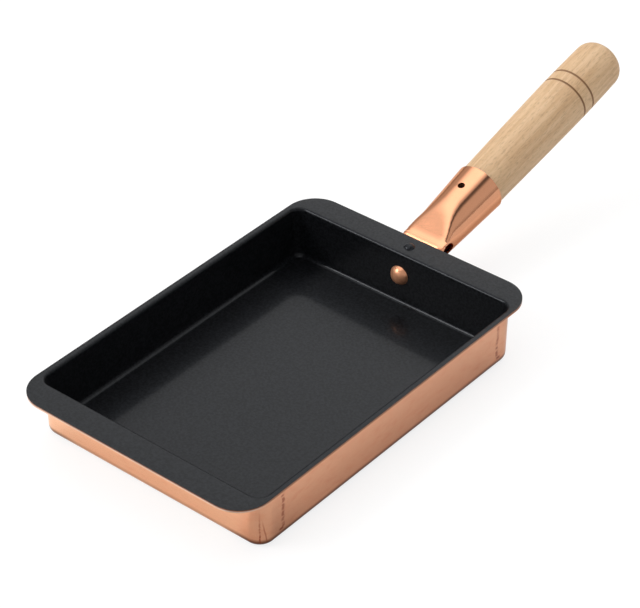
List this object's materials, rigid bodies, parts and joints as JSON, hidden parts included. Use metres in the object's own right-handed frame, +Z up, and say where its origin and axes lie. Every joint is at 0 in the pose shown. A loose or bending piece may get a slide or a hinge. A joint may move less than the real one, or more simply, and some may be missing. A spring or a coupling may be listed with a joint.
{
  "type": "tamagoyaki pan",
  "caption": "Rectangular rolled-omelette pan of pressed copper with a black non-stick lining, wide end flanges, a riveted copper handle socket and a turned wooden handle.",
  "frame": {"origin": "centre of the flat resting face under the pan's floor", "axes": "+Z up, +Y along the pan towards the handle, +X across the pan's width"},
  "size_m": [0.139, 0.3656, 0.0735],
  "materials": {
    "copper": "satin-polished copper, drawn along the walls",
    "nonstick": "black non-stick coating with a soft sheen",
    "black_metal": "black coating over the rivet's head",
    "wood": "pale wood, turned and left bare"
  },
  "bodies": {
    "root": {"pan_body": "copper", "nonstick_lining": "nonstick", "handle_socket": "copper", "wall_rivet": "copper", "flange_rivet": "black_metal", "wooden_handle": "wood"}
  },
  "joints": []
}
